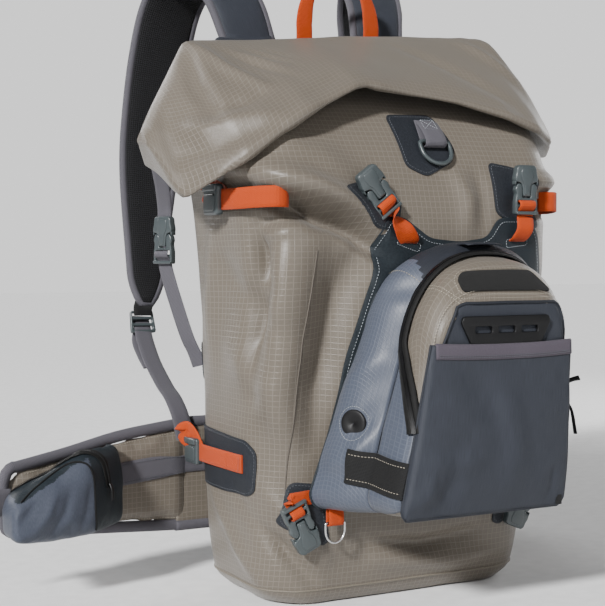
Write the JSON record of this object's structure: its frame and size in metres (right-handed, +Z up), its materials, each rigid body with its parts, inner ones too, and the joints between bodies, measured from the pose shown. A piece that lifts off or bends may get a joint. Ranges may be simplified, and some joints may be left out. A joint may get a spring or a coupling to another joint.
{
  "type": "tackle backpack",
  "caption": "Waterproof roll-top fishing backpack with padded shoulder straps, hip belt with pouches and a detachable zip-open chest pack held by side-release buckles",
  "frame": {"origin": "middle of the base, on the surface that the pack stands on", "axes": "+Z up, -Y the front with the chest pack, +Y the back with the shoulder straps, +X the pack's left-hand side as worn, to the right seen from the front"},
  "size_m": [0.6745, 0.6119, 0.66],
  "materials": {
    "ripstop_khaki": "coated ripstop, satin",
    "pack_slate": "fine coated weave",
    "trim_teal": "matte coated fabric",
    "webbing_orange": "woven webbing",
    "webbing_grey": "woven webbing",
    "mesh_black": "spacer mesh",
    "frame_plastic": "matte",
    "rubber_black": "moulded, matte",
    "zip_black": "matte",
    "ring_steel": "polished wire",
    "buckle_plastic": "moulded acetal, fine grain"
  },
  "bodies": {
    "bag": {"main_body": "ripstop_khaki", "frame_sheet": "frame_plastic", "back_panel": "mesh_black", "shoulder_yoke": "pack_slate", "handle_anchor": "webbing_orange", "ring_tab": "webbing_grey", "socket_upper_left": "buckle_plastic", "socket_upper_right": "buckle_plastic", "socket_lower_left": "buckle_plastic", "socket_lower_right": "buckle_plastic", "low_strap_left": "webbing_orange", "low_strap_right": "webbing_orange", "low_lock_left": "buckle_plastic", "low_lock_right": "buckle_plastic", "high_strap_left": "webbing_orange", "high_strap_right": "webbing_orange", "high_lock_left": "buckle_plastic", "high_lock_right": "buckle_plastic"},
    "closure": {"roll_top": "ripstop_khaki", "closure_collar": "ripstop_khaki", "roll_buckle_left": "buckle_plastic", "roll_buckle_right": "buckle_plastic", "roll_strap_left": "webbing_grey", "roll_strap_right": "webbing_grey"},
    "roll_clip_left": {"roll_clip_left": "buckle_plastic"},
    "roll_clip_right": {"roll_clip_right": "buckle_plastic"},
    "haul_handle": {"haul_handle": "webbing_orange"},
    "top_ring": {"top_d_ring": "buckle_plastic"},
    "chest_pack": {"harness_panel": "trim_teal", "chest_body": "pack_slate", "magnet_disc": "rubber_black", "pack_strap_upper_left": "webbing_orange", "pack_strap_upper_right": "webbing_orange", "pack_strap_lower_left": "webbing_orange", "pack_strap_lower_right": "webbing_orange", "ring_loop": "webbing_orange"},
    "key_ring": {"key_ring": "ring_steel"},
    "clip_upper_left": {"clip_upper_left": "buckle_plastic"},
    "clip_upper_right": {"clip_upper_right": "buckle_plastic"},
    "clip_lower_left": {"clip_lower_left": "buckle_plastic"},
    "clip_lower_right": {"clip_lower_right": "buckle_plastic"},
    "pack_front": {"front_panel": "ripstop_khaki", "fly_patch": "mesh_black", "tool_dock": "rubber_black", "front_pocket": "pack_slate"},
    "zip_slider": {"zip_slider": "zip_black"},
    "shoulder_left": {"shoulder_pad_left": "mesh_black", "ladder_lock_left": "buckle_plastic", "shoulder_webbing_left": "webbing_grey"},
    "shoulder_right": {"shoulder_pad_right": "mesh_black", "ladder_lock_right": "buckle_plastic", "shoulder_webbing_right": "webbing_grey"},
    "belt_left": {"belt_wing_left": "ripstop_khaki", "belt_pouch_left": "pack_slate", "belt_end_left": "webbing_grey", "belt_clip": "buckle_plastic"},
    "belt_right": {"belt_wing_right": "ripstop_khaki", "belt_pouch_right": "pack_slate", "belt_end_right": "webbing_grey", "belt_socket": "buckle_plastic"}
  },
  "joints": [
    {"name": "closure_raise", "type": "slide", "parent": "bag", "child": "closure", "axis": [0, 0, 1], "range_m": [0, 0.09]},
    {"name": "roll_clip_release_left", "type": "slide", "parent": "bag", "child": "roll_clip_left", "axis": [0, 0, -1], "range_m": [0, 0.016]},
    {"name": "roll_clip_release_right", "type": "slide", "parent": "bag", "child": "roll_clip_right", "axis": [0, 0, -1], "range_m": [0, 0.016]},
    {"name": "haul_handle_fold", "type": "hinge", "parent": "bag", "child": "haul_handle", "pos_m": [0.03, 0.1042, 0.598], "axis": [1, 0, 0], "range_deg": [0, 50]},
    {"name": "top_ring_lift", "type": "hinge", "parent": "bag", "child": "top_ring", "pos_m": [0.022, -0.09978, 0.45222], "axis": [-1, 0, 0], "range_deg": [0, 150]},
    {"name": "chest_pack_lift", "type": "slide", "parent": "bag", "child": "chest_pack", "axis": [0, -1, 0], "range_m": [0, 0.12]},
    {"name": "clip_release_upper_left", "type": "slide", "parent": "chest_pack", "child": "clip_upper_left", "axis": [0.6, 0, -0.8], "range_m": [0, 0.016], "deforming": ["pack_strap_upper_left"]},
    {"name": "clip_release_upper_right", "type": "slide", "parent": "chest_pack", "child": "clip_upper_right", "axis": [0, 0, -1], "range_m": [0, 0.016], "deforming": ["pack_strap_upper_right"]},
    {"name": "clip_release_lower_left", "type": "slide", "parent": "chest_pack", "child": "clip_lower_left", "axis": [-0.3998, 0, 0.9166], "range_m": [0, 0.016]},
    {"name": "clip_release_lower_right", "type": "slide", "parent": "chest_pack", "child": "clip_lower_right", "axis": [0.3998, 0, 0.9166], "range_m": [0, 0.016]},
    {"name": "key_ring_swing", "type": "hinge", "parent": "chest_pack", "child": "key_ring", "pos_m": [-0.098, -0.1135, 0.0865], "axis": [-1, 0, 0], "range_deg": [-20, 85]},
    {"name": "front_panel_open", "type": "hinge", "parent": "chest_pack", "child": "pack_front", "pos_m": [0.00052, -0.172, 0.104], "axis": [1, 0, 0], "range_deg": [0, 60]},
    {"name": "zip_slider_travel", "type": "slide", "parent": "chest_pack", "child": "zip_slider", "axis": [0, 0, -1], "range_m": [0, 0.07]},
    {"name": "shoulder_swing_left", "type": "hinge", "parent": "bag", "child": "shoulder_left", "pos_m": [-0.1655, 0.0872, 0.146], "axis": [0.2179, 0.0867, 0.9721], "range_deg": [-15, 15]},
    {"name": "shoulder_swing_right", "type": "hinge", "parent": "bag", "child": "shoulder_right", "pos_m": [0.1905, 0.0872, 0.146], "axis": [-0.2179, 0.0867, 0.9721], "range_deg": [-15, 15]},
    {"name": "belt_fold_left", "type": "hinge", "parent": "bag", "child": "belt_left", "pos_m": [-0.15, 0.1, 0.11], "axis": [0, 0, 1], "range_deg": [-95, 0]},
    {"name": "belt_fold_right", "type": "hinge", "parent": "bag", "child": "belt_right", "pos_m": [0.15, 0.1, 0.11], "axis": [0, 0, 1], "range_deg": [-92, 0]}
  ],
  "couplings": [
    {"joint": "zip_slider_travel", "follows": "front_panel_open", "m_per_rad": 0.0667}
  ]
}
